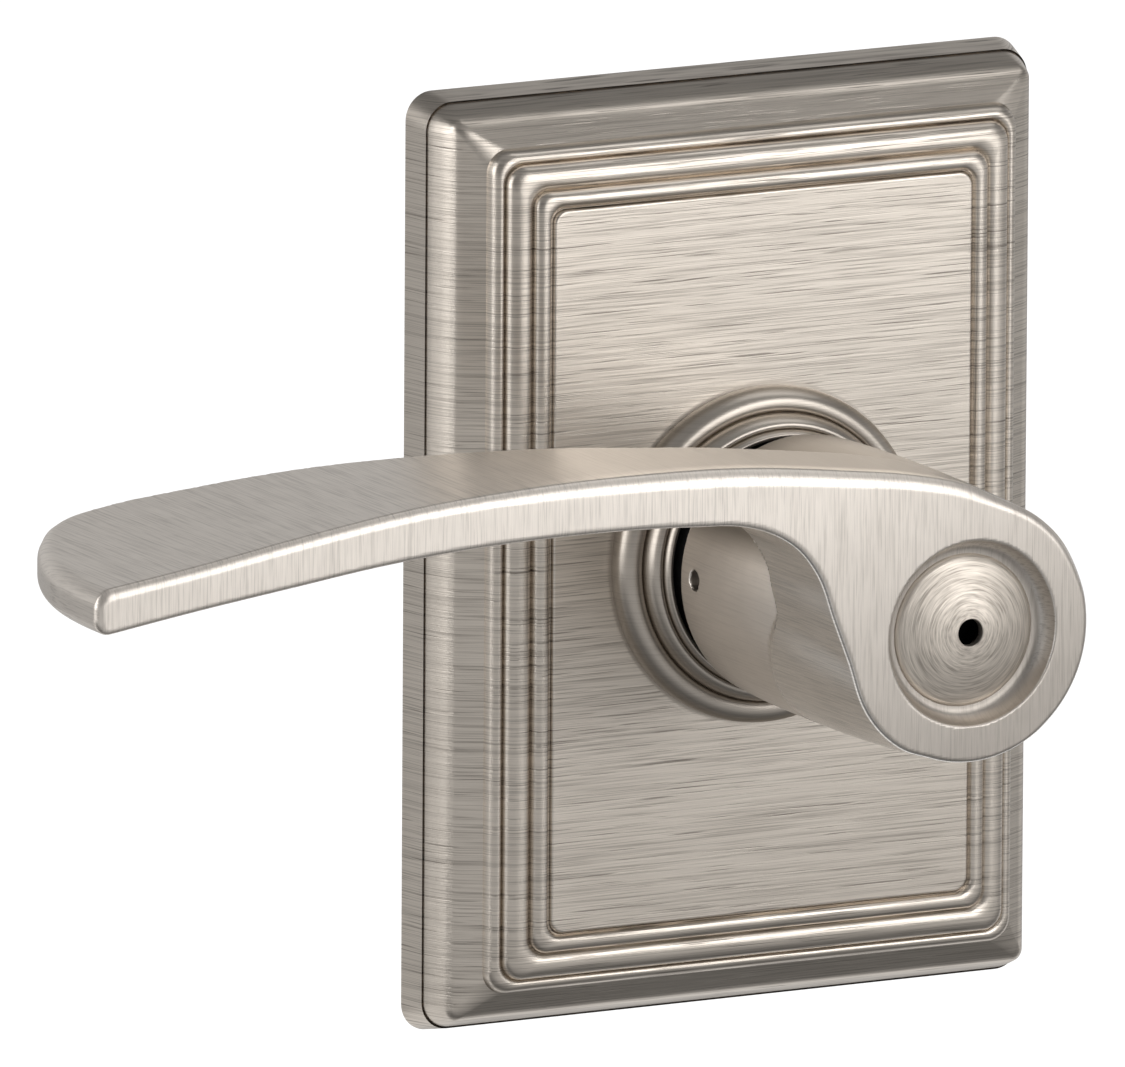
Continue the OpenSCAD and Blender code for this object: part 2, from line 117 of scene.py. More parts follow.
class Outline:
    """Closed polygon with a signed distance, below zero inside, and a smooth gradient."""

    def __init__(self, points):
        self.table = None
        p = np.asarray(points, dtype=float)
        area = np.sum(p[:, 0] * np.roll(p[:, 1], -1) - p[:, 1] * np.roll(p[:, 0], -1))
        self.a = p if area > 0 else p[::-1]
        self.b = np.roll(self.a, -1, axis=0)
        self.e = self.b - self.a
        self.len2 = np.sum(self.e**2, axis=1)
        n = np.stack([self.e[:, 1], -self.e[:, 0]], axis=1) / np.sqrt(self.len2)[:, None]
        prev = np.roll(n, 1, axis=0)
        corner = np.sum(n * prev, axis=1) < 0.9
        start = n + prev
        start /= np.linalg.norm(start, axis=1, keepdims=True)
        end = np.roll(start, -1, axis=0)
        self.n0 = np.where(corner[:, None], n, start)
        self.n1 = np.where(np.roll(corner, -1)[:, None], n, end)

    def tabulate(self, us, vs):
        u, v = np.meshgrid(us, vs, indexing="ij")
        self.table = (np.asarray(us), np.asarray(vs), self(u, v)[0])

    def look_up(self, x, y):
        us, vs, f = self.table
        i = np.clip(np.searchsorted(us, x, side="right") - 1, 0, len(us) - 2)
        j = np.clip(np.searchsorted(vs, y, side="right") - 1, 0, len(vs) - 2)
        s = np.clip((x - us[i]) / (us[i + 1] - us[i]), 0, 1)
        t = np.clip((y - vs[j]) / (vs[j + 1] - vs[j]), 0, 1)
        return ((f[i, j] * (1 - t) + f[i, j + 1] * t) * (1 - s)
                + (f[i + 1, j] * (1 - t) + f[i + 1, j + 1] * t) * s)

    def __call__(self, x, y):
        if self.table is not None:
            return self.look_up(x, y), np.zeros_like(x), np.zeros_like(y)
        shape = x.shape
        x, y = x.ravel(), y.ravel()
        d, gx, gy = np.empty(len(x)), np.empty(len(x)), np.empty(len(x))
        for lo in range(0, len(x), 20000):
            s = slice(lo, lo + 20000)
            px = x[s, None] - self.a[None, :, 0]
            py = y[s, None] - self.a[None, :, 1]
            t = np.clip((px * self.e[:, 0] + py * self.e[:, 1]) / self.len2, 0, 1)
            qx, qy = px - t * self.e[:, 0], py - t * self.e[:, 1]
            d2 = qx**2 + qy**2
            i = np.argmin(d2, axis=1)
            rows = np.arange(len(i))
            dist = np.sqrt(d2[rows, i])
            above = self.a[None, :, 1] > y[s, None]
            crosses = above != (self.b[None, :, 1] > y[s, None])
            side = px * self.e[:, 1] - py * self.e[:, 0]
            up = self.e[:, 1] > 0
            inside = np.sum(crosses & ((side < 0) == up), axis=1) % 2 == 1
            sign = np.where(inside, -1.0, 1.0)
            d[s] = dist * sign
            tt = t[rows, i][:, None]
            smooth = self.n0[i] * (1 - tt) + self.n1[i] * tt
            away = np.stack([qx[rows, i], qy[rows, i]], axis=1) * sign[:, None]
            away /= np.maximum(dist, 1e-9)[:, None]
            ends = (t[rows, i] <= 0) | (t[rows, i] >= 1)
            use = (ends & (dist > 0.05))[:, None]
            g = np.where(use, away, smooth)
            g /= np.linalg.norm(g, axis=1, keepdims=True)
            gx[s], gy[s] = g[:, 0], g[:, 1]
        return d.reshape(shape), gx.reshape(shape), gy.reshape(shape)


# A solid here is a pair of arrays: its signed distance at some points, and that distance's gradient.

def round_max(a, b, r):
    """Intersection of two solids with an edge rounded to radius r."""
    (fa, ga), (fb, gb) = a, b
    u, v = np.maximum(fa + r, 0), np.maximum(fb + r, 0)
    span = np.sqrt(u**2 + v**2)
    f = np.minimum(-r, np.maximum(fa, fb)) + span
    deep = span < 1e-9
    wa = np.where(deep, fa >= fb, u / np.maximum(span, 1e-9))[..., None]
    wb = np.where(deep, fb > fa, v / np.maximum(span, 1e-9))[..., None]
    return f, wa * ga + wb * gb


def inverted(a):
    return -a[0], -a[1]


def round_min(a, b, r):
    """Union of two solids with the inner corner rounded to radius r."""
    return inverted(round_max(inverted(a), inverted(b), r))


def surface_net(solid, exact, xs, ys, zs):
    """Closed quad mesh of the solid's surface on a grid, pulled onto the surface, with normals.

    exact() is called once the grid is filled, so that the solid can drop its quick tables.
    """
    gx, gy, gz = np.meshgrid(xs, ys, zs, indexing="ij")
    value = np.empty(gx.shape, dtype=np.float32)
    for lo in range(0, len(xs), 20):
        s = slice(lo, lo + 20)
        value[s] = solid(gx[s], gy[s], gz[s])[0]
    inside = value < 0
    n = np.array(inside.shape) - 1
    count = np.zeros(tuple(n), dtype=np.uint8)   # corners of each cell that are inside
    shifts = [(i, j, k) for i in (0, 1) for j in (0, 1) for k in (0, 1)]
    for i, j, k in shifts:
        count += inside[i:n[0] + i, j:n[1] + j, k:n[2] + k]
    cell = np.argwhere((count > 0) & (count < 8))
    index = np.full(tuple(n), -1, dtype=np.int64)
    index[tuple(cell.T)] = np.arange(len(cell))
    axes = (np.asarray(xs), np.asarray(ys), np.asarray(zs))
    exact()
    total, hits = np.zeros((len(cell), 3)), np.zeros((len(cell), 1))
    for a in shifts:
        for axis in range(3):
            if a[axis]:
                continue
            b = list(a)
            b[axis] = 1
            ia, ib = cell + np.array(a), cell + np.array(b)
            va, vb = value[tuple(ia.T)], value[tuple(ib.T)]
            cut = (va < 0) != (vb < 0)
            t = np.where(cut, va / np.where(cut, va - vb, 1), 0)[:, None]
            pa = np.stack([axes[c][ia[:, c]] for c in range(3)], axis=1)
            pb = np.stack([axes[c][ib[:, c]] for c in range(3)], axis=1)
            total += np.where(cut[:, None], pa + (pb - pa) * t, 0)
            hits += cut[:, None]
    points = total / hits
    for _ in range(3):
        f, g = solid(points[:, 0], points[:, 1], points[:, 2])
        step = f[:, None] * g / np.maximum(np.sum(g**2, axis=1), 0.25)[:, None]
        points -= np.clip(step, -0.2, 0.2)
    normals = solid(points[:, 0], points[:, 1], points[:, 2])[1]
    normals /= np.maximum(np.linalg.norm(normals, axis=1, keepdims=True), 1e-9)
    faces = []
    for axis in range(3):
        b, c = [(1, 2), (2, 0), (0, 1)][axis]
        lo, hi = [slice(None)] * 3, [slice(None)] * 3
        lo[axis], hi[axis] = slice(0, -1), slice(1, None)
        for first, flip in ((True, False), (False, True)):
            edge = np.argwhere((inside[tuple(lo)] == first) & (inside[tuple(hi)] != first))
            quad = []
            for db, dc in ((-1, -1), (0, -1), (0, 0), (-1, 0)):
                q = edge.copy()
                q[:, b] += db
                q[:, c] += dc
                quad.append(index[tuple(q.T)])
            quad = np.stack(quad if not flip else quad[::-1], axis=1)
            faces.append(quad)
    return points, np.concatenate(faces).tolist(), normals


def spans(*parts):
    """Grid lines from (start, end, spacing) stretches that follow each other."""
    out = []
    for start, end, gap in parts:
        out.extend(np.linspace(start, end, max(1, round((end - start) / gap)), endpoint=False))
    out.append(parts[-1][1])
    return np.array(out)


# ---- materials ----

class Nodes:
    """Shorthand for building the node tree of a material or a world."""

    def __init__(self, owner):
        owner.use_nodes = True
        self.tree = owner.node_tree

    def add(self, kind, **settings):
        node = self.tree.nodes.new(kind)
        for key, value in settings.items():
            setattr(node, key, value)
        return node

    def link(self, a, b):
        self.tree.links.new(a, b)

    def put(self, socket, value):
        if isinstance(value, bpy.types.NodeSocket):
            self.link(value, socket)
        else:
            socket.default_value = value

    def maths(self, operation, a, b=0.0, clamp=False):
        node = self.add("ShaderNodeMath", operation=operation, use_clamp=clamp)
        self.put(node.inputs[0], a)
        self.put(node.inputs[1], b)
        return node.outputs[0]

    def times(self, a, b):
        return self.maths("MULTIPLY", a, b)

    def inverse(self, a):
        return self.maths("SUBTRACT", 1.0, a)

    def past(self, value, start, gain):
        """Runs from 0 to 1 as a value goes past start, or comes down to it where the gain is below 0."""
        return self.maths("MULTIPLY", self.maths("SUBTRACT", value, start), gain, clamp=True)

    def blend(self, a, share_a, b, share_b):
        return self.maths("ADD", self.times(a, share_a), self.times(b, share_b))

    def ramp(self, fac, *stops):
        """Value that runs between (position, value) stops."""
        node = self.add("ShaderNodeValToRGB")
        elements = node.color_ramp.elements
        while len(elements) < len(stops):
            elements.new(0.5)
        for element, (at, value) in zip(elements, stops):
            element.position = at
            element.color = (value, value, value, 1)
        self.link(fac, node.inputs[0])
        return node.outputs["Color"]

    def mix(self, fac, a, b):
        node = self.add("ShaderNodeMix", data_type="FLOAT")
        self.put(node.inputs[0], fac)
        self.put(node.inputs[2], a)
        self.put(node.inputs[3], b)
        return node.outputs[0]

    def tint(self, fac, a, b):
        node = self.add("ShaderNodeMix", data_type="RGBA")
        self.put(node.inputs[0], fac)
        self.put(node.inputs[6], a)
        self.put(node.inputs[7], b)
        return node.outputs[2]


class Material(Nodes):
    """Shorthand for a material with one Principled shader."""

    def __init__(self, name):
        self.mat = bpy.data.materials.new(name)
        super().__init__(self.mat)
        self.shader = self.tree.nodes["Principled BSDF"]
        self.place = self.add("ShaderNodeTexCoord").outputs["Object"]

    def noise(self, per_mm, detail, rough, place=None, shift=0.0):
        """Noise from 0 to 1 with its own frequency per mm along each row axis."""
        scale = self.add("ShaderNodeMapping")
        scale.inputs["Scale"].default_value = tuple(f / MM for f in per_mm)
        scale.inputs["Location"].default_value = (shift, shift, shift)
        self.link(place or self.place, scale.inputs["Vector"])
        tex = self.add("ShaderNodeTexNoise")
        tex.inputs["Scale"].default_value = 1.0
        tex.inputs["Detail"].default_value = detail
        tex.inputs["Roughness"].default_value = rough
        self.link(scale.outputs[0], tex.inputs["Vector"])
        return tex.outputs["Fac"]

    def bump(self, height, strength, depth_mm):
        node = self.add("ShaderNodeBump")
        node.inputs["Strength"].default_value = strength
        node.inputs["Distance"].default_value = depth_mm * MM
        self.link(height, node.inputs["Height"])
        self.link(node.outputs[0], self.shader.inputs["Normal"])

    def facing(self, axis):
        """How far the surface faces along a row axis, before any pose."""
        split = self.add("ShaderNodeSeparateXYZ")
        self.link(self.add("ShaderNodeTexCoord").outputs["Normal"], split.inputs[0])
        return split.outputs[axis]

    def where(self, axis):
        """Place along a row axis, in mm."""
        split = self.add("ShaderNodeSeparateXYZ")
        self.link(self.place, split.inputs[0])
        return self.times(split.outputs[axis], 1 / MM)

    def radius(self):
        """Distance from the hub's axis, in mm."""
        x, z = self.where(0), self.where(2)
        return self.maths("POWER", self.maths("ADD", self.times(x, x), self.times(z, z)), 0.5)

    def metal(self, colour, roughness):
        self.link(colour, self.shader.inputs["Base Color"])
        self.link(roughness, self.shader.inputs["Roughness"])
        self.shader.inputs["Metallic"].default_value = 1.0


NICKEL = (0.73, 0.665, 0.59, 1)
NICKEL_DARK = (0.13, 0.112, 0.095, 1)
LEVER_NICKEL = (0.83, 0.768, 0.7, 1)
# Painted shade: base colour of the darker top of the arm's root and the hub
ROOT_PAINTED_SHADE = (0.34, 0.307, 0.27, 1)
POLISHED = (0.96, 0.92, 0.87, 1)
COLLAR_FOOT_R = 18.3
RECESS_R = 9.85
# How deep the polished wall under the head runs behind the lever's front, at heights from its foot to its top
WALL_HEIGHT = [-11, -8, -5, -3, -1.7, 0, 1.4, 6, 13]
WALL_DEPTH = [21.5, 20, 18.6, 17.6, 16.6, 15.2, 14.2, 13.1, 12.6]


def rose_nickel():
    """Satin nickel brushed sideways, with dark scratches, and smoother on the turned collar."""
    n = Material("satin_nickel_rose")
    collar = n.past(n.radius(), COLLAR_FOOT_R, -4.0)
    panel = n.past(n.facing(1), -0.94, -20.0)
    fine = n.noise((0.12, 0.05, 11.0), 1.0, 0.6)
    broad = n.noise((0.07, 0.05, 6.5), 1.0, 0.5, shift=3.1)
    cloud = n.noise((0.05, 0.12, 0.12), 2.0, 0.5, shift=7.7)
    scratch = n.noise((0.12, 0.1, 7.5), 1.0, 0.4, shift=1.7)
    dark = n.times(n.ramp(scratch, (0.28, 1.0), (0.36, 0.0)), n.inverse(collar))
    level = n.ramp(n.blend(fine, 0.55, broad, 0.45), (0.34, 0.5), (0.5, 0.88), (0.64, 1.0))
    level = n.times(level, n.ramp(cloud, (0.25, 0.9), (0.75, 1.0)))
    level = n.times(level, n.inverse(n.times(dark, 0.6)))
    level = n.mix(n.times(collar, 0.75), level, 0.56)
    n.metal(n.tint(level, NICKEL_DARK, NICKEL),
            n.mix(panel, n.mix(level, 0.42, 0.28), n.mix(level, 0.5, 0.36)))
    height = n.maths("SUBTRACT", n.maths("ADD", fine, n.times(broad, 0.5)), dark)
    n.bump(n.times(height, n.mix(collar, 1.0, 0.3)), 0.25, 0.04)
    return n.mat


def lever_nickel():
    """Satin nickel brushed upright on the front, along the arm on top and across it elsewhere."""
    n = Material("satin_nickel_lever")
    x, z = n.where(0), n.where(2)
    face_y, face_z = n.facing(1), n.facing(2)
    front = n.past(face_y, -0.72, -6.0)
    top = n.past(face_z, 0.3, 6.0)
    upright = n.noise((7.0, 1.0, 0.2), 2.0, 0.6)
    upright_broad = n.noise((3.0, 0.5, 0.1), 2.0, 0.5, shift=2.3)
    across = n.noise((5.0, 0.12, 1.0), 3.0, 0.6, shift=5.1)
    soft = n.noise((0.35, 0.35, 0.35), 3.0, 0.5, shift=4.4)
    lengthwise = n.noise((3.0, 0.12, 7.0), 2.0, 0.6, shift=9.2)
    grain = n.mix(front, n.mix(top, lengthwise, across), n.blend(upright, 0.75, upright_broad, 0.25))

    # the polished wall under the head runs back to the hub's satin shank
    depth = n.maths("ADD", n.where(1), LEVER_FRONT)
    foot, rise, deepest = WALL_HEIGHT[0], WALL_HEIGHT[-1] - WALL_HEIGHT[0], 30.0
    stops = [((y - foot) / rise, w / deepest) for y, w in zip(WALL_HEIGHT, WALL_DEPTH)]
    reach = n.times(n.ramp(n.times(n.maths("ADD", z, -foot), 1 / rise), *stops), deepest)
    wall = n.past(depth, reach, -5.0)
    hub_top = n.ramp(n.maths("ADD", n.times(x, 0.01), 1.0), (0.5, 0.0), (0.58, 1.0))
    sunk = n.past(n.radius(), RECESS_R, -8.0)
    edge = n.past(n.times(face_y, face_z), -0.0625, -8.0)

    contrast = n.mix(front, n.mix(top, n.mix(wall, 0.25, 0.6), n.mix(hub_top, 0.5, 0.25)), 0.6)
    level = n.ramp(grain, (0.34, 0.5), (0.5, 0.9), (0.62, 1.0))
    level = n.inverse(n.times(n.inverse(level), contrast))
    level = n.times(level, n.ramp(soft, (0.3, 0.94), (0.7, 1.0)))

    # painted shade: darker in the recess around the cap, towards the head's lower right and on top of the
    # arm's root
    level = n.times(level, n.mix(sunk, 1.0, 0.66))
    # painted shade: the front darkens towards the head's lower right
    fall = n.maths("ADD", n.times(n.maths("SUBTRACT", n.times(x, 0.5), z), 0.02), 0.5)
    head_painted_shade = n.ramp(fall, (0.02, 1.0), (0.26, 0.86), (0.6, 0.64), (0.75, 0.55))
    level = n.times(level, n.mix(front, 1.0, head_painted_shade))
    # painted shade on top of the arm's root and the hub, in place of a dark reflection
    root = n.times(top, n.past(x, -52.0, 1 / 30))
    root = n.times(root, n.past(depth, 1.2, 0.5))
    root = n.times(root, n.inverse(n.maths("MAXIMUM", front, sunk)))
    polish = n.times(n.times(wall, n.past(x, -24.0, 0.5)), n.inverse(n.maths("MAXIMUM", front, top)))
    light = n.tint(polish, LEVER_NICKEL, POLISHED)

    rough = n.mix(front, n.mix(top, n.mix(polish, 0.34, 0.22), n.mix(hub_top, 0.36, 0.32)), 0.36)
    rough = n.mix(n.maths("MAXIMUM", edge, sunk), rough, 0.42)
    n.metal(n.tint(root, n.tint(level, NICKEL_DARK, light), ROOT_PAINTED_SHADE),
            n.maths("ADD", rough, n.times(n.maths("SUBTRACT", 0.5, grain), 0.12)))
    n.bump(n.times(grain, contrast), 0.3, 0.03)
    return n.mat


def cap_nickel():
    """Satin nickel turned in fine rings around the hole."""
    n = Material("satin_nickel_cap")
    radius = n.radius()
    around = n.add("ShaderNodeCombineXYZ")
    n.link(n.times(radius, MM), around.inputs[0])
    for socket, axis in ((1, 0), (2, 2)):
        share = n.maths("DIVIDE", n.where(axis), n.maths("MAXIMUM", radius, 0.1))
        n.link(n.times(share, MM), around.inputs[socket])
    rings = n.noise((5.6, 1.9, 1.9), 2.0, 0.6, place=around.outputs[0])
    broad = n.noise((1.2, 0.9, 0.9), 2.0, 0.5, place=around.outputs[0], shift=2.0)
    level = n.ramp(n.blend(rings, 0.7, broad, 0.3), (0.34, 0.36), (0.5, 0.7), (0.66, 0.94))
    n.metal(n.tint(level, NICKEL_DARK, NICKEL), n.mix(level, 0.52, 0.44))
    n.bump(rings, 0.55, 0.05)
    return n.mat


def plain_metal(name, light, shade, rough, grain, bump):
    """Metal with fine grain, soft stains and a little wear."""
    n = Material(name)
    fine = n.noise(grain, 4.0, 0.6)
    stain = n.noise((0.12, 0.12, 0.12), 3.0, 0.55, shift=3.3)
    level = n.ramp(n.blend(fine, 0.5, stain, 0.5), (0.3, 0.0), (0.65, 1.0))
    n.metal(n.tint(level, shade, light), n.mix(fine, rough + 0.08, rough - 0.06))
    n.bump(fine, bump, 0.04)
    return n.mat


def nylon():
    n = Material("black_nylon")
    fine = n.noise((6.0, 6.0, 6.0), 3.0, 0.6)
    n.link(n.tint(fine, (0.008, 0.008, 0.009, 1), (0.02, 0.02, 0.021, 1)), n.shader.inputs["Base Color"])
    n.link(n.mix(fine, 0.6, 0.42), n.shader.inputs["Roughness"])
    n.bump(fine, 0.25, 0.04)
    return n.mat


rose_metal = rose_nickel()
lever_metal = lever_nickel()
cap_metal = cap_nickel()
zinc = plain_metal("zinc_plated_steel", (0.68, 0.67, 0.6, 1), (0.42, 0.41, 0.36, 1),
                   0.34, (1.5, 1.5, 1.5), 0.2)
bright = plain_metal("bright_steel", (0.72, 0.73, 0.75, 1), (0.45, 0.46, 0.48, 1),
                     0.26, (5.0, 0.8, 5.0), 0.15)
spring = plain_metal("spring_steel", (0.5, 0.49, 0.48, 1), (0.26, 0.25, 0.25, 1),
                     0.32, (3.0, 3.0, 3.0), 0.15)
oxide = plain_metal("black_oxide_steel", (0.025, 0.024, 0.023, 1), (0.01, 0.01, 0.01, 1),
                    0.5, (3.0, 3.0, 3.0), 0.15)
black = nylon()


# ---- rose: one closed skin of matching rings, from the moulding through the collar to the back ----

SIDE_STEPS, CORNER_STEPS = 14, 12   # along half a side, and round a corner
RING_STEPS = 4 * (2 * SIDE_STEPS + CORNER_STEPS)


def rect_ring(inset, z, corner):
    """Rounded rectangle at a height, started at the middle of the right side."""
    hx, hy = ROSE_W / 2 - inset - corner, ROSE_H / 2 - inset - corner
    out = []
    for q in range(4):
        sx, sy = (1, -1, -1, 1)[q], (1, 1, -1, -1)[q]
        along_x = q % 2 == 1
        for k in range(SIDE_STEPS):
            t = k / SIDE_STEPS
            out.append((t * hx * sx, (hy + corner) * sy) if along_x
                       else ((hx + corner) * sx, t * hy * sy))
        for k in range(CORNER_STEPS):
            a = math.radians(90 * q + 90 * k / CORNER_STEPS)
            out.append((hx * sx + corner * math.cos(a), hy * sy + corner * math.sin(a)))
        for k in range(SIDE_STEPS):
            t = 1 - k / SIDE_STEPS
            out.append(((hx + corner) * sx, t * hy * sy) if along_x
                       else (t * hx * sx, (hy + corner) * sy))
    return [(x, y, z) for x, y in out]


def round_ring(r, z, count=RING_STEPS):
    return [(r * math.cos(math.tau * k / count), r * math.sin(math.tau * k / count), z)
            for k in range(count)]


def stretch(points, steps=4):
    """Smooth run through all the points, which ends on the first and the last."""
    p = np.asarray(points, dtype=float)
    p = np.vstack([2 * p[0] - p[1], p, 2 * p[-1] - p[-2]])
    return smooth_curve(p, steps).tolist()


def loft(rings):
    """Faces of a skin over rings that closes on itself both ways."""
    count = len(rings[0])
    faces = []
    for i in range(len(rings)):
        a, b = i * count, (i + 1) % len(rings) * count
        for k in range(count):
            n = (k + 1) % count
            faces.append([a + k, b + k, b + n, a + n])
    return [p for ring in rings for p in ring], faces


# Moulding runs from the outer edge inwards, as [inset, height, corner radius], creased where they meet
MOULDING = [
    [[0.0, 0.0, 3.0], [0.22, 1.1, 3.0], [0.45, 2.2, 3.0], [0.68, 3.3, 3.0]],
    [[0.68, 3.3, 3.0], [0.71, 3.05, 3.0], [0.74, 2.8, 3.0]],
    [[0.74, 2.8, 3.0], [0.94, 3.6, 2.8], [1.36, 4.75, 2.3], [1.82, 5.8, 1.7], [2.16, 6.4, 1.2],
     [2.5, 6.84, 1.05], [2.95, 7.2, 1.1], [3.6, 7.6, 1.4], [4.4, 8.08, 1.9], [5.1, 8.5, 2.5]],
    [[5.1, 8.5, 2.5], [5.2, 9.0, 2.45], [5.42, 9.6, 2.4], [5.8, 9.98, 2.35], [6.2, 10.08, 2.3],
     [6.45, 9.95, 2.25], [6.6, 9.65, 2.25]],
    [[6.6, 9.65, 2.25], [6.74, 10.25, 2.2], [6.98, 10.68, 2.15], [7.4, 10.98, 2.1], [8.0, 11.18, 2.05],
     [8.6, 11.2, 2.0], [9.1, 11.0, 1.95], [9.45, 10.6, 1.9]],
    [[9.45, 10.6, 1.9], [9.55, 11.1, 1.85], [9.82, 11.5, 1.8], [10.25, 11.72, 1.75],
     [10.7, 11.75, 1.7], [11.08, 11.58, 1.6], [11.3, 11.15, 1.55]],
    [[11.3, 11.15, 1.55], [11.42, 11.3, 1.5], [11.5, 11.1, 1.5]],
    [[11.5, 11.1, 1.5], [11.58, 11.42, 1.5], [11.68, 11.56, 1.48], [11.82, 11.6, 1.45]],
]
# Collar runs from its foot over the lip and down the bore, as [radius, height]
COLLAR = [
    [[17.85, 11.6], [17.9, 12.3], [17.8, 12.95], [17.5, 13.5], [17.05, 13.95], [16.5, 14.2],
     [15.95, 14.2], [15.55, 14.02], [15.4, 13.7]],
    [[15.4, 13.7], [15.28, 14.3], [15.05, 14.95], [14.7, 15.45], [14.3, 15.7], [14.0, 15.66],
     [13.85, 15.42]],
    [[13.85, 15.42], [13.8, 15.85], [13.65, 16.2], [13.4, 16.44], [13.15, 16.4], [12.98, 16.2],
     [12.9, 15.9]],
    [[12.9, 15.9], [12.9, 15.4], [12.9, 13.0], [12.9, 9.9]],
]
# The hollow back, from the collar's bore outwards, as [inset, height, corner radius]
BACK = [[13, 9.9, 2], [13, 8.2, 2], [7, 8.2, 2], [7, 5, 2], [3.2, 5, 2], [3.2, 0, 2]]
PANEL_INSETS, PANEL_CORNER = (11.82, 11.86, 11.95, 12.4), 1.45
PANEL_RADII = (19.2, 17.95, 17.88)


def rose():
    rings = []
    for run in MOULDING:
        rings.extend(rect_ring(*ring) for ring in stretch(run)[:-1])
    rings.extend(rect_ring(inset, PANEL, PANEL_CORNER) for inset in PANEL_INSETS)
    rings.extend(round_ring(r, PANEL) for r in PANEL_RADII)
    for run in COLLAR:
        rings.extend(round_ring(*ring) for ring in stretch(run)[:-1])
    rings.append(round_ring(*COLLAR[-1][-1]))
    rings.extend(rect_ring(*ring) for ring in BACK)
    points, faces = loft(rings)
    obj = add_mesh("rose_skin", points, faces, rose_metal)
    obj.data.set_sharp_from_angle(angle=math.radians(28))
    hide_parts("rose_plate")
    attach(obj, "fixed_rose")


rose()


# ---- lever: rounded solid of the arm, head and hub ----

# The arm's upper and lower edges as shares of its reach and rise, then on to the head in mm
TOP_EDGE = [[1.08, 0.62], [1, 0.679], [0.884, 0.761], [0.771, 0.853], [0.635, 0.947], [0.497, 0.992],
            [0.37, 1], [0.258, 0.98], [0.144, 0.915]]
UNDER_EDGE = [[1.08, 0.38], [1, 0.44], [0.884, 0.527], [0.77, 0.602], [0.68, 0.66], [0.558, 0.708],
              [0.466, 0.72], [0.372, 0.715], [0.315, 0.7], [0.264, 0.677]]
TOP_ROOT = [[-6, 17.1], [-0.5, 15.7], [4.2, 13.4], [7.8, 11.35], [10.6, 8.5]]
UNDER_ROOT = [[-23.6, 12.6], [-20.4, 10.6], [-18.1, 7.7], [-16.2, 2.8], [-14.4, -1.8], [-12.2, -7.5],
              [-9.9, -10.2], [-7.4, -11.8]]
# The arm's back edge from above, as shares of its reach and depth
BACK_EDGE = [[0.1, 0.426], [0.19, 0.426], [0.29, 0.463], [0.385, 0.574], [0.48, 0.669],
             [0.575, 0.766], [0.67, 0.861], [0.765, 0.943], [0.84, 0.996], [0.88, 0.994], [0.912, 0.948],
             [0.936, 0.862], [0.957, 0.74], [0.976, 0.588], [0.99, 0.412], [0.998, 0.203], [1, 0], [1, -0.2]]
JOIN_R = HEAD_R - 0.6   # the edges meet the head just inside its rim
ROOT_DEPTH = BACK_EDGE[0][1] * ARM_DEPTH
ROOT_END = -19             # from here on the arm's back edge follows BACK_EDGE
TIP_ROUNDING = -87, -97    # its edges get rounder between these places


def on_circle(r, degrees):
    return [r * math.cos(math.radians(degrees)), r * math.sin(math.radians(degrees))]


def lever_outline():
    scale = np.array([-ARM_REACH, ARM_TOP])
    past_tip = np.array([-0.3, 0])   # both edges run on past the tip, where the back edge cuts them
    top = [list(np.array(p) * scale) for p in TOP_EDGE] + TOP_ROOT
    top += [on_circle(JOIN_R, 22), on_circle(JOIN_R, 7)]
    under = [list(np.array(p) * scale) for p in UNDER_EDGE] + UNDER_ROOT
    under += [on_circle(JOIN_R, -110), on_circle(JOIN_R, -95)]
    top, under = smooth_curve(top, 5), smooth_curve(under, 5)
    top_end = top[:1] + (top[0] - top[1]) + past_tip
    under_end = under[:1] + (under[0] - under[1]) + past_tip
    arc = [on_circle(JOIN_R, a) for a in range(18, -107, -4)]
    return np.vstack([top_end, top, arc, under[::-1], under_end])


def plan_outline():
    back = smooth_curve(BACK_EDGE, 6) * np.array([-ARM_REACH, -ARM_DEPTH]) + np.array([0, LEVER_FRONT])
    wide, ahead = HEAD_R + 4, LEVER_FRONT + 6
    return np.vstack([[[wide, ahead], [wide, LEVER_FRONT - ROOT_DEPTH]], back, [[-ARM_REACH, ahead]]])


def lathe_outline(points):
    """Outline of a turned solid from (radius, height) points, mirrored to the other side of its axis."""
    return Outline([[-r, z] for r, z in reversed(points)] + [list(p) for p in points])


outline = Outline(lever_outline())
plan = Outline(plan_outline())
HUB_WALL = stretch([[14.15, HUB_BACK + 0.35], [14.35, 24], [14.47, 30], [14.5, 36], [14.42, 43], [14.15, 50],
                    [HEAD_R + 0.02, LEVER_FRONT - 0.6], [HEAD_R - 0.5, LEVER_FRONT + 4]], 4)
hub_side = lathe_outline([[13.8, HUB_BACK]] + HUB_WALL + [[HEAD_R - 0.5, LEVER_FRONT + 6]])
LEDGE = LEVER_FRONT - 2.2
CAP_SEAT = 50.2
recess = lathe_outline([[4.1, 46], [4.1, 50], [7.65, CAP_SEAT], [7.65, LEDGE], [8.35, LEDGE],
                        [8.66, LEDGE + 0.09], [8.95, LEDGE + 0.27], [9.2, LEDGE + 0.53],
                        [9.42, LEDGE + 0.9], [9.58, LEDGE + 1.3], [9.69, LEDGE + 1.75],
                        [9.75, LEVER_FRONT], [9.75, LEVER_FRONT + 5]])
bore = lathe_outline([[9.6, HUB_BACK - 3], [9.6, 46.9]])
CATCH_HOLE_R, CATCH_HOLE_Z = 1.05, 23.2
CATCH_HOLE_TURN = math.radians(2)


def in_plan(shape, x, z):
    """The (x, z) outline as a solid along y."""
    f, gx, gz = shape(x, z)
    return f, np.stack([gx, np.zeros_like(gx), gz], axis=-1)


def in_front(shape, x, y):
    """The (x, y) outline as a solid along z."""
    f, gx, gy = shape(x, y)
    return f, np.stack([gx, gy, np.zeros_like(gx)], axis=-1)


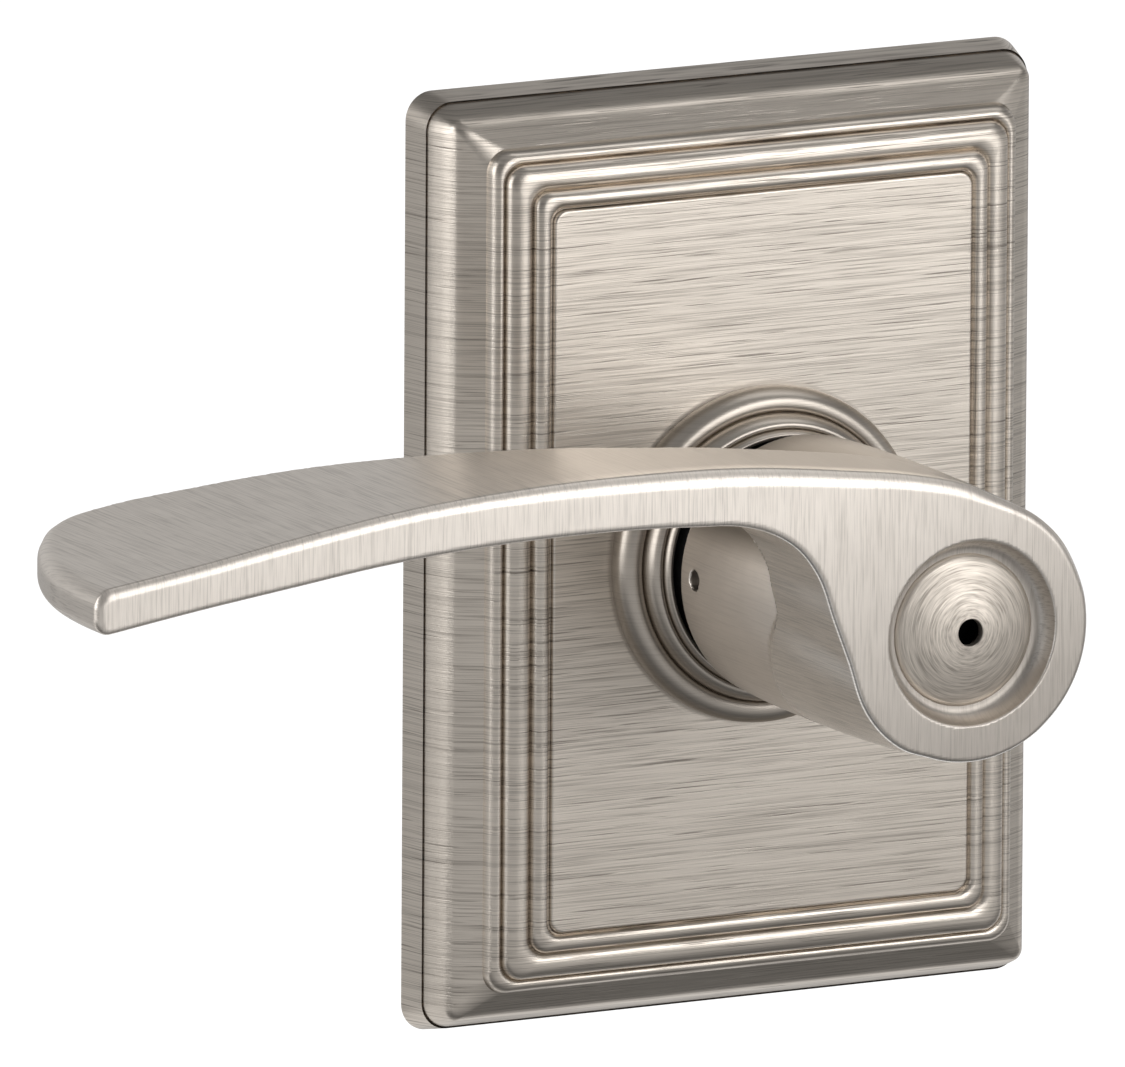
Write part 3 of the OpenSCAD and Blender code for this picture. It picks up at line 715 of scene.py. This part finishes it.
def turned_round(shape, x, y, z):
    """The (radius, z) outline as a solid of revolution about z."""
    r = np.sqrt(x**2 + y**2)
    f, gr, gz = shape(r, z)
    away = np.maximum(r, 1e-6)
    return f, np.stack([gr * x / away, gr * y / away, gz], axis=-1)


def flat_cut(x, past, slope):
    """Solid cut off flat across z, from the distance past the cut and that distance's slope along z."""
    return past, np.stack([np.zeros_like(x), np.zeros_like(x), np.full_like(x, slope)], axis=-1)


def smooth_step(lo, hi, v):
    t = np.clip((v - lo) / (hi - lo), 0, 1)
    return t * t * (3 - 2 * t)


def lever_solid(x, y, z):
    front = flat_cut(x, z - LEVER_FRONT, 1)
    edge = in_front(outline, x, y)
    back = in_plan(plan, x, z)
    # the root's wall reaches further back towards the foot of the head
    behind = flat_cut(x, LEVER_FRONT - np.interp(y, WALL_HEIGHT, WALL_DEPTH) - z, -1)
    near = x > ROOT_END
    back = (np.where(near, behind[0], back[0]), np.where(near[..., None], behind[1], back[1]))
    tip = smooth_step(*TIP_ROUNDING, x)
    arm = round_max(edge, back, 0.5 + 1.3 * tip)
    hub = turned_round(hub_side, x, y, z)
    body = round_min(arm, hub, 0.9)
    # the front's edge is widest along the top, and less so on the left and at the tip
    up, left = body[1][..., 1], body[1][..., 0]
    rounding = 0.62 + smooth_step(0.1, 0.8, up) * (0.9 + 0.8 * np.exp(-((x + 27) / 26)**2))
    rounding = np.maximum(rounding, 0.75 * smooth_step(0.3, 0.9, left))
    rounding = np.maximum(rounding, 0.95 * smooth_step(-97, -100, x) * smooth_step(-0.2, -0.8, left))
    # along the top it is a broad roll that starts at a crease on the top face
    crease = smooth_step(0.1, 0.8, up)
    rolled = round_max((body[0] - 0.2 * rounding * crease, body[1]), front, rounding)
    body = round_max(rolled, body, 0.1 * crease + 1e-6)
    body = round_max(body, inverted(turned_round(recess, x, y, z)), 0.22)
    body = round_max(body, inverted(turned_round(bore, x, y, z)), 0.1)
    # the small hole for the catch is bored in from the arm's side only
    c, s = math.cos(CATCH_HOLE_TURN), math.sin(CATCH_HOLE_TURN)
    v = x * s + y * c
    w = z - CATCH_HOLE_Z
    r = np.maximum(np.sqrt(v**2 + w**2), 1e-6)
    f = np.where(x < 0, CATCH_HOLE_R - r, -5.0)
    grad = np.stack([-v * s / r, -v * c / r, -w / r], axis=-1)
    return round_max(body, (f, grad), 0.12)


def lever():
    coarse = 1.0
    xs = spans((-ARM_REACH - 0.6, -98, 0.25 * coarse), (-98, -24, 0.5 * coarse), (-24, 15, 0.3 * coarse))
    ys = spans((-15.1, 21.2, 0.25 * coarse))
    zs = spans((HUB_BACK - 0.4, 26, 0.3 * coarse), (26, LEVER_FRONT - 3.4, 0.6 * coarse),
               (LEVER_FRONT - 3.4, LEVER_FRONT + 0.3, 0.2 * coarse))
    radii = np.arange(0, 24, 0.15)
    outline.tabulate(xs, ys)
    plan.tabulate(xs, zs)
    shapes = [hub_side, recess, bore]
    for shape in shapes:
        shape.tabulate(radii, zs)

    def exact():
        for shape in shapes + [outline, plan]:
            shape.table = None

    points, faces, normals = surface_net(lever_solid, exact, xs, ys, zs)
    obj = add_mesh("lever_skin", points, faces, lever_metal, normals)
    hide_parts("lever")
    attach(obj, "turning_lever")


lever()


# ---- cap: turned dome with a rounded hole ----

def cap():
    apex = CAP_FRONT + 0.03   # where the dome would peak, were it not for the hole
    dome_r, hole, thick = 21.3, 1.4, 0.9

    def dome(r, drop=0.0):
        return apex - drop - dome_r + math.sqrt(dome_r**2 - r**2)

    profile = [[r, dome(r)] for r in np.linspace(hole + 0.12, CAP_R - 0.45, 22)]
    rim = dome(CAP_R - 0.45)
    profile += [[CAP_R - 0.28, rim - 0.12], [CAP_R - 0.12, rim - 0.25], [CAP_R - 0.03, rim - 0.42],
                [CAP_R, rim - 0.65], [CAP_R, CAP_SEAT], [CAP_R - thick, CAP_SEAT]]
    profile += [[r, dome(r, thick)] for r in np.linspace(CAP_R - thick, hole, 8)]
    profile += [[hole, dome(hole) - 0.3], [hole + 0.03, dome(hole) - 0.07]]
    points, faces = loft([round_ring(r, z, 144) for r, z in profile])
    obj = add_mesh("cap_skin", points, faces, cap_metal)
    obj.data.set_sharp_from_angle(angle=math.radians(35))
    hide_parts("face_cap")
    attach(obj, "turning_lever")


cap()


# ---- the CAD pieces that show as they are ----

FINISH = {
    zinc: ("chassis_plate", "mounting_posts", "spring_cage", "cage_cover", "drive_tube", "driver_cam"),
    bright: ("rose_screws", "cage_rivets", "latch_spindle", "spindle_pin", "lever_catch",
             "thrust_washer", "snap_ring"),
    oxide: ("release_rod",),
    spring: ("return_spring", "catch_spring", "release_spring"),
    black: ("hub_bushing", "release_guide"),
}
for material, nodes in FINISH.items():
    for name in nodes:
        for piece in frame["nodes"][name].material_slots:
            piece.material = material


# ---- stage, camera and light ----

CAMERA_TURN, CAMERA_TILT, CAMERA_ROLL = math.radians(27.98), math.radians(11.696), math.radians(0.337)
CAMERA_PLACE = (-15.455, -0.125, -4000)   # mm from the hub's axis at the door, to the right, up and ahead
CAMERA_LENS, CAMERA_SENSOR = 1221.4, 36
FLOOR_LEVEL, FLOOR_R = -260, 12000


def camera():
    turn, tilt, roll = CAMERA_TURN, CAMERA_TILT, CAMERA_ROLL
    right = Vector((math.cos(turn), -math.sin(turn), 0))
    ahead = Vector((math.sin(turn) * math.cos(tilt), math.cos(turn) * math.cos(tilt), -math.sin(tilt)))
    up = Vector((math.sin(turn) * math.sin(tilt), math.cos(turn) * math.sin(tilt), math.cos(tilt)))
    right, up = (math.cos(roll) * right + math.sin(roll) * up, math.cos(roll) * up - math.sin(roll) * right)
    data = bpy.data.cameras.new("camera")
    data.sensor_width = CAMERA_SENSOR
    data.lens = CAMERA_LENS
    data.clip_start, data.clip_end = 0.5, 30
    cam = bpy.data.objects.new("camera", data)
    spot = (CAMERA_PLACE[0] * right + CAMERA_PLACE[1] * up + CAMERA_PLACE[2] * ahead) * MM
    cam.matrix_world = Matrix((
        (right.x, up.x, -ahead.x, spot.x), (right.y, up.y, -ahead.y, spot.y),
        (right.z, up.z, -ahead.z, spot.z), (0, 0, 0, 1)))
    bpy.context.scene.collection.objects.link(cam)
    bpy.context.scene.camera = cam


def soft_light(name, direction, distance, watts, width, height):
    """Area light that faces the hub from a direction, given in the row frame."""
    data = bpy.data.lights.new(name, "AREA")
    data.shape = "RECTANGLE"
    data.size, data.size_y = width, height
    data.energy = watts
    lamp = bpy.data.objects.new(name, data)
    lamp.visible_camera = False
    towards = Vector(direction).normalized()
    lamp.location = towards * distance
    lamp.rotation_mode = "QUATERNION"
    lamp.rotation_quaternion = towards.to_track_quat("Z", "Y")
    bpy.context.scene.collection.objects.link(lamp)


def floor():
    """Pale floor. Polished metal sees soft bands of it, by how far back they lie."""
    n = Material("pale_floor")
    n.shader.inputs["Base Color"].default_value = (0.9, 0.9, 0.9, 1)
    n.shader.inputs["Roughness"].default_value = 0.9
    n.shader.inputs["Emission Color"].default_value = (1, 1, 1, 1)
    n.shader.inputs["Emission Strength"].default_value = 0.2
    bands = n.ramp(n.maths("ADD", n.times(n.where(1), 0.0007), 0.4),
                   (0.12, 0.55), (0.38, 0.08), (0.42, 0.4), (0.48, 0.95), (0.56, 0.7), (0.65, 0.3),
                   (0.76, 0.75), (0.86, 0.38))
    glow = n.add("ShaderNodeEmission")
    n.link(bands, glow.inputs["Color"])
    pick = n.add("ShaderNodeMixShader")
    n.link(n.add("ShaderNodeLightPath").outputs["Is Glossy Ray"], pick.inputs[0])
    n.link(n.shader.outputs[0], pick.inputs[1])
    n.link(glow.outputs[0], pick.inputs[2])
    n.link(pick.outputs[0], n.tree.nodes["Material Output"].inputs["Surface"])
    sides = 48
    points = [(x, FLOOR_LEVEL, z) for x, z, _ in round_ring(FLOOR_R, 0, sides)]
    obj = add_mesh("floor", points, [list(range(sides))[::-1]], n.mat)


def world():
    """White surroundings. Polished metal sees soft bands of them, by how high and far forward they lie."""
    made = bpy.data.worlds.new("studio")
    bpy.context.scene.world = made
    n = Nodes(made)
    split = n.add("ShaderNodeSeparateXYZ")
    n.link(n.add("ShaderNodeTexCoord").outputs["Generated"], split.inputs[0])
    height = n.maths("ADD", n.times(split.outputs[1], -0.35), split.outputs[2])
    stops = ((-1, 0.5), (-0.1, 0.6), (0.12, 0.5), (0.28, 0.42), (0.5, 0.15), (0.75, 0.15), (0.86, 0.28))
    bands = n.ramp(n.times(n.maths("ADD", height, 1.0), 0.5), *(((h + 1) / 2, value) for h, value in stops))
    seen = n.add("ShaderNodeLightPath").outputs["Is Glossy Ray"]
    n.link(n.tint(seen, (1, 1, 1, 1), bands), n.tree.nodes["Background"].inputs["Color"])


bpy.context.scene.view_settings.view_transform = "Standard"
camera()
floor()
world()
soft_light("front", (0.36, -0.91, 0.27), distance=0.42, watts=0.7, width=0.3, height=0.26)
soft_light("left", (-0.95, 0.0, 0.3), distance=0.6, watts=1.2, width=0.35, height=0.5)
soft_light("above", (0.45, -0.15, 0.87), distance=1.2, watts=1.1, width=0.42, height=0.8)
